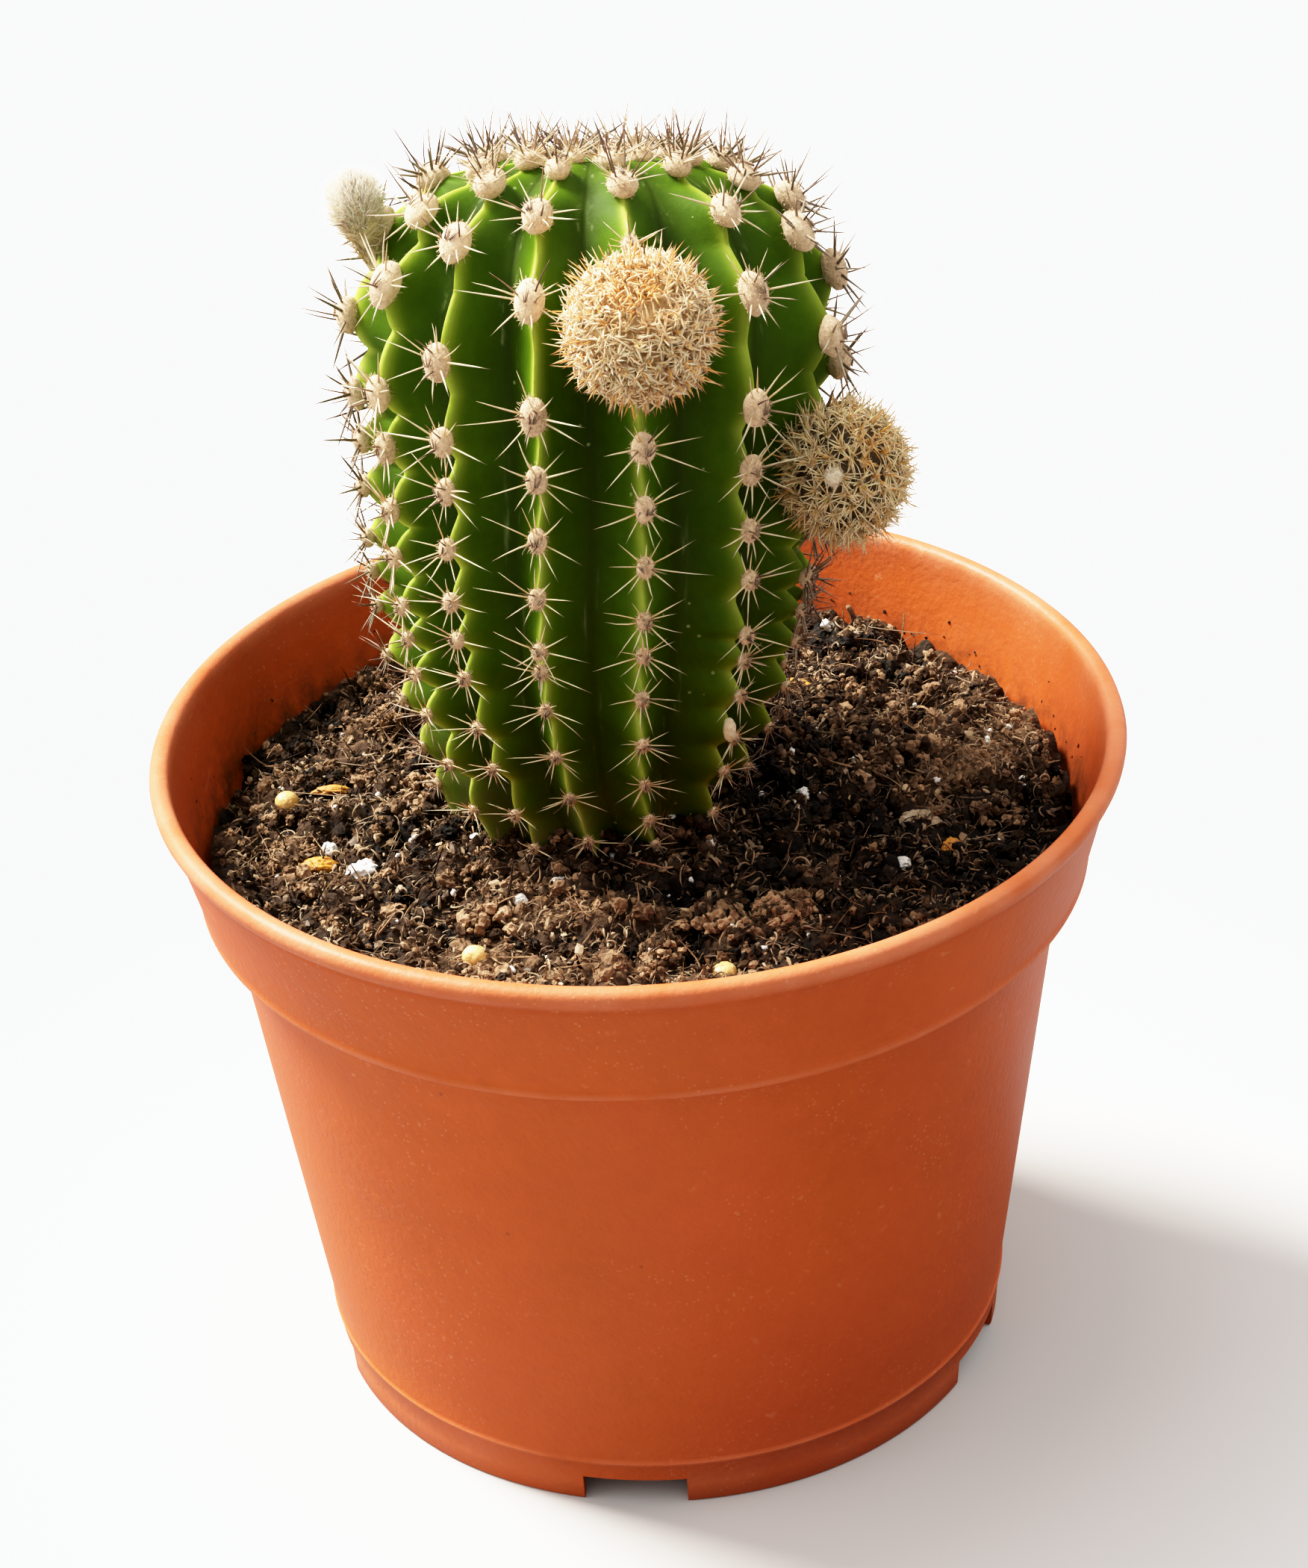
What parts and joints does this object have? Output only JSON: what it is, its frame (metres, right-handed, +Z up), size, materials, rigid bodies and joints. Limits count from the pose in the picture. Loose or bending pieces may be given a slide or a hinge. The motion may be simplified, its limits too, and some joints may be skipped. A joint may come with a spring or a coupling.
{
  "type": "potted round cactus",
  "caption": "Ribbed round cactus with spiny offsets and a woolly flower bud, growing in peat in a tapered plastic nursery pot.",
  "frame": {"origin": "centre of the pot's foot ring, on the surface that the pot stands on", "axes": "+Z up along the pot's axis, -Y towards the front of the plant, where the larger offset grows"},
  "size_m": [0.12, 0.12, 0.164],
  "materials": {
    "terracotta_plastic": "satin",
    "peat": "matte",
    "stem_skin": "satin",
    "straw_spines": "matte",
    "tan_spines": "matte",
    "bud_hair": "matte",
    "areole_wool": "matte",
    "pellet": "satin",
    "perlite": "matte",
    "bark": "matte",
    "chip": "matte",
    "crumb": "matte",
    "husk": "satin"
  },
  "bodies": {
    "root": {"pot": "terracotta_plastic", "soil": "peat", "stem": "stem_skin", "pup_front": "straw_spines", "pup_right": "tan_spines", "flower_bud": "bud_hair", "areole_crown_1": "areole_wool", "areole_crown_2": "areole_wool", "areole_crown_3": "areole_wool", "areole_crown_4": "areole_wool", "areole_crown_5": "areole_wool", "areole_crown_6": "areole_wool", "areole_crown_7": "areole_wool", "areole_crown_8": "areole_wool", "areole_crown_9": "areole_wool", "areole_crown_10": "areole_wool", "areole_crown_11": "areole_wool", "areole_crown_12": "areole_wool", "areole_crown_13": "areole_wool", "areole_crown_14": "areole_wool", "pellet_1": "pellet", "pellet_2": "pellet", "pellet_3": "pellet", "perlite_1": "perlite", "perlite_2": "perlite", "perlite_3": "perlite", "perlite_4": "perlite", "perlite_5": "perlite", "perlite_6": "perlite", "perlite_7": "perlite", "perlite_8": "perlite", "bark_sliver_1": "bark", "bark_sliver_2": "bark", "bark_sliver_3": "bark", "bark_sliver_4": "bark", "bark_chip": "chip", "peat_crumb_1": "crumb", "peat_crumb_2": "crumb", "peat_crumb_3": "crumb", "twig": "chip", "seed_husk": "husk"}
  },
  "joints": []
}
